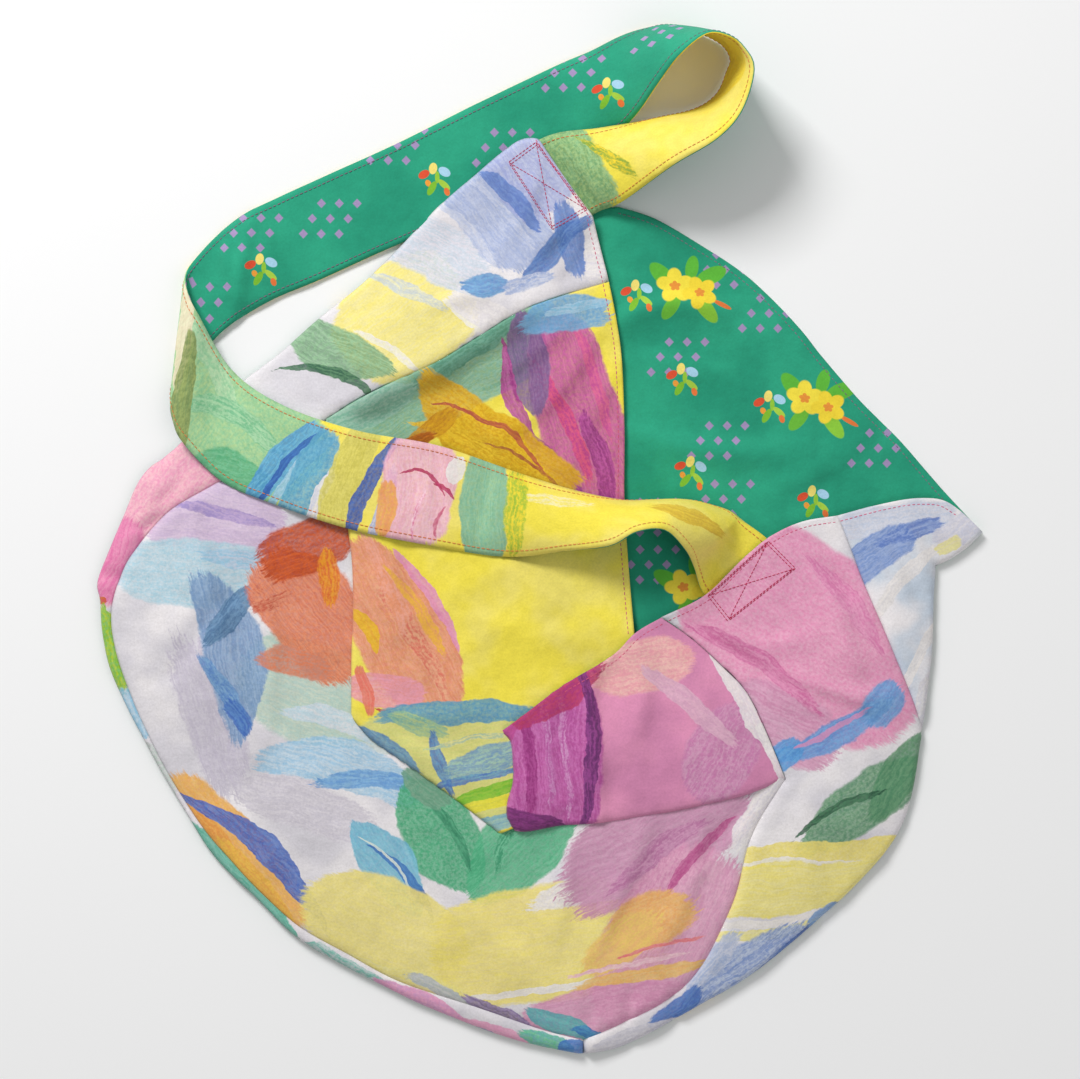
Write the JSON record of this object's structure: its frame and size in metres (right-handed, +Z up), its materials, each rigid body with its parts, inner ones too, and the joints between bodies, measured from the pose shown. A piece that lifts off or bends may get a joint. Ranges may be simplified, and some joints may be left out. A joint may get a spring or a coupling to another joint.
{
  "type": "sling bag",
  "caption": "Reversible two-layer cotton sling bag with a pleated pouch, a wide mouth and one broad shoulder strap, lying on its back with the strap looped above it",
  "frame": {"origin": "bottom centre of the whole object's box; the bag rests on z = 0", "axes": "+Z up out of what the bag lies on, +Y from the pouch's bottom towards the strap loop, +X towards the right ear"},
  "size_m": [0.486, 0.5662, 0.0505],
  "materials": {
    "printed_cotton": "matt plain-weave cotton, painterly floral print in warm and cool brush strokes",
    "green_lining": "matt plain-weave cotton, green with small blooms, sprigs and diamonds",
    "interfacing": "white non-woven interfacing",
    "thread": "twisted sewing thread, pink with orange stretches"
  },
  "bodies": {
    "bag": {"back_outer_panel": "printed_cotton", "back_lining_panel": "green_lining", "front_outer": "printed_cotton", "front_lining": "green_lining", "left_gore_outer": "printed_cotton", "left_gore_lining": "green_lining", "right_gore_outer": "printed_cotton", "right_gore_lining": "green_lining", "right_corner_outer": "printed_cotton", "right_corner_lining": "green_lining", "left_pleat_outer": "printed_cotton", "left_pleat_lining": "green_lining", "right_pleat_outer": "printed_cotton", "right_pleat_lining": "green_lining", "strap_lower_face": "printed_cotton", "strap_lower_interfacing": "interfacing", "strap_lower_backing": "green_lining", "strap_lower_topstitch": "thread", "right_box_stitch": "thread", "front_mouth_topstitch": "thread"},
    "top_fold": {"back_ear_outer": "printed_cotton", "back_ear_lining": "green_lining", "ear_tip_outer": "printed_cotton", "ear_tip_lining": "green_lining", "strap_upper_face": "printed_cotton", "strap_upper_interfacing": "interfacing", "strap_upper_backing": "green_lining", "strap_upper_topstitch": "thread", "left_box_stitch": "thread", "back_mouth_topstitch": "thread", "ear_tip_topstitch": "thread"}
  },
  "joints": [
    {"name": "top_fold_lift", "type": "hinge", "parent": "bag", "child": "top_fold", "pos_m": [-0.062, 0.176, 0.006], "axis": [0.8957, -0.4446, 0], "range_deg": [0, 80]}
  ]
}
